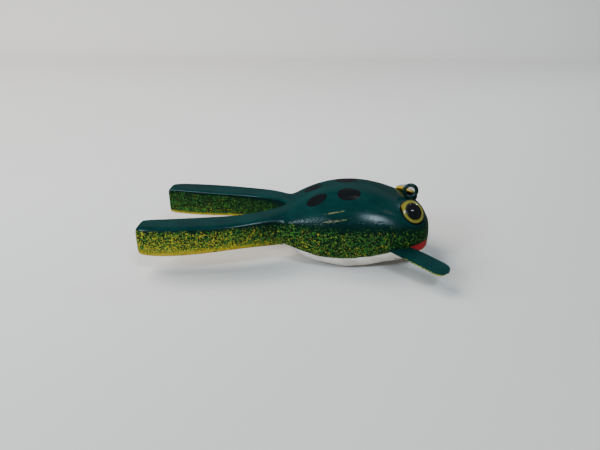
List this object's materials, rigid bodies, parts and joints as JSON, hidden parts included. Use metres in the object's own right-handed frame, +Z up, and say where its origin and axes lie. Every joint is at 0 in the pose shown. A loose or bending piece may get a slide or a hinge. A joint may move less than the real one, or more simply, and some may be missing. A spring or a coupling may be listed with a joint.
{
  "type": "carved frog fishing decoy",
  "caption": "Painted wooden frog decoy with fixed hind legs, bendable sheet metal front legs, domed glass eyes, a screw eye for the line and a weighted flat belly.",
  "frame": {"origin": "middle of the carved flat that the belly rests on", "axes": "+X to the nose, +Y to the frog's left, +Z up out of the back"},
  "size_m": [0.1561, 0.0908, 0.0413],
  "materials": {
    "painted_wood": "gloss",
    "lead": "matte",
    "painted_sheet": "gloss",
    "bare_sheet": "satin",
    "steel_wire": "satin",
    "painted_wire": "gloss",
    "yellow_enamel": "gloss",
    "black_enamel": "gloss",
    "clear_glass": "gloss"
  },
  "bodies": {
    "frog": {"body": "painted_wood", "ballast_front": "lead", "ballast_rear": "lead", "right_leg_tab": "bare_sheet", "right_leg_brad": "steel_wire", "left_leg_tab": "bare_sheet", "left_leg_brad": "steel_wire", "screw_eye": "painted_wire", "right_eye_back": "yellow_enamel", "right_eye_pupil": "black_enamel", "right_eye_glass": "clear_glass", "right_eye_stem": "steel_wire", "left_eye_back": "yellow_enamel", "left_eye_pupil": "black_enamel", "left_eye_glass": "clear_glass", "left_eye_stem": "steel_wire"},
    "right_leg": {"right_leg_blade": "painted_sheet"},
    "left_leg": {"left_leg_blade": "painted_sheet"}
  },
  "joints": [
    {"name": "right_leg_bend", "type": "hinge", "parent": "frog", "child": "right_leg", "pos_m": [0.0316, -0.0235, 0.0136], "axis": [-0.9659, -0.2588, 0], "range_deg": [-20, 30]},
    {"name": "left_leg_bend", "type": "hinge", "parent": "frog", "child": "left_leg", "pos_m": [0.0316, 0.0235, 0.0136], "axis": [0.9659, -0.2588, 0], "range_deg": [-20, 30]}
  ]
}
